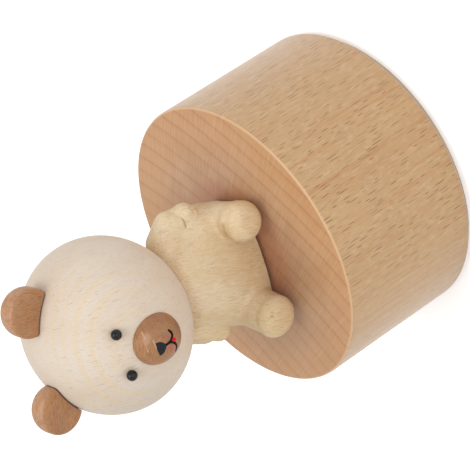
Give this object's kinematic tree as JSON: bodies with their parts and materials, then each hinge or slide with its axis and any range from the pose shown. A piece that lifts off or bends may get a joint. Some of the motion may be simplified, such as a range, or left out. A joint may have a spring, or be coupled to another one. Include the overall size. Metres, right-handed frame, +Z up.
{
  "type": "wooden music box",
  "caption": "Turned wooden music box: a sitting wooden bear on a beech cylinder turns on the arbor of the musical movement inside.",
  "frame": {"origin": "the middle of the underside of the felt, on the axis that the bear turns on", "axes": "+Z up along the turning axis; the bear looks along -Y at rest, and its left side is at +X"},
  "size_m": [0.072, 0.072, 0.1058],
  "materials": {
    "beech": "turned, oiled satin",
    "maple": "turned, pale matt varnish",
    "carved_wood": "sanded, matt varnish",
    "brown_wood": "stained, satin",
    "plywood": "raw",
    "felt": "dense felt",
    "bead": "black, glossy",
    "zinc": "die-cast, grey",
    "brass": "turned",
    "steel": "bright",
    "spring_steel": "blued",
    "nylon": "moulded"
  },
  "bodies": {
    "base": {"base_shell": "beech", "bottom_cover": "plywood", "felt_pad": "felt", "cover_screw_1": "brass", "cover_screw_2": "brass", "cover_screw_3": "brass", "bedplate": "zinc", "bedplate_screw_1": "steel", "bedplate_screw_2": "steel", "bedplate_screw_3": "steel", "spring_barrel": "brass", "barrel_screw_1": "steel", "barrel_screw_2": "steel", "mainspring": "spring_steel", "spindle_bush": "brass", "comb": "spring_steel", "comb_screw_1": "steel", "comb_screw_2": "steel", "drum_bracket_left": "steel", "drum_bracket_right": "steel", "governor_frame": "steel", "bracket_screw_1": "steel", "bracket_screw_2": "steel", "bracket_screw_3": "steel"},
    "figure": {"winding_arbor": "steel", "drive_wheel": "brass", "retaining_clip": "spring_steel", "bear_insert": "brass", "bear_body": "carved_wood", "neck_dowel": "beech", "bear_head": "maple", "ear_left": "brown_wood", "ear_right": "brown_wood", "muzzle": "brown_wood", "eye_left": "bead", "eye_right": "bead"},
    "drum": {"music_drum": "brass", "drum_shaft": "steel", "drum_gear": "nylon", "drum_end_wheel": "brass"},
    "idler": {"idler_shaft": "steel", "worm_wheel": "brass"},
    "governor": {"governor_worm": "steel", "governor_fan": "nylon"}
  },
  "joints": [
    {"name": "figure_turn", "type": "hinge", "parent": "base", "child": "figure", "pos_m": [0, 0, 0.0406], "axis": [0, 0, 1], "continuous": true},
    {"name": "drum_turn", "type": "hinge", "parent": "base", "child": "drum", "pos_m": [0, 0, 0.0148], "axis": [1, 0, 0], "continuous": true},
    {"name": "idler_turn", "type": "hinge", "parent": "base", "child": "idler", "pos_m": [0.01715, -0.00885, 0.0148], "axis": [1, 0, 0], "continuous": true},
    {"name": "governor_turn", "type": "hinge", "parent": "base", "child": "governor", "pos_m": [0.01715, -0.01375, 0.0148], "axis": [0, 0, 1], "continuous": true}
  ],
  "couplings": [
    {"joint": "drum_turn", "follows": "figure_turn", "ratio": 1.6667},
    {"joint": "idler_turn", "follows": "figure_turn", "ratio": -6.6667},
    {"joint": "governor_turn", "follows": "figure_turn", "ratio": -160}
  ]
}
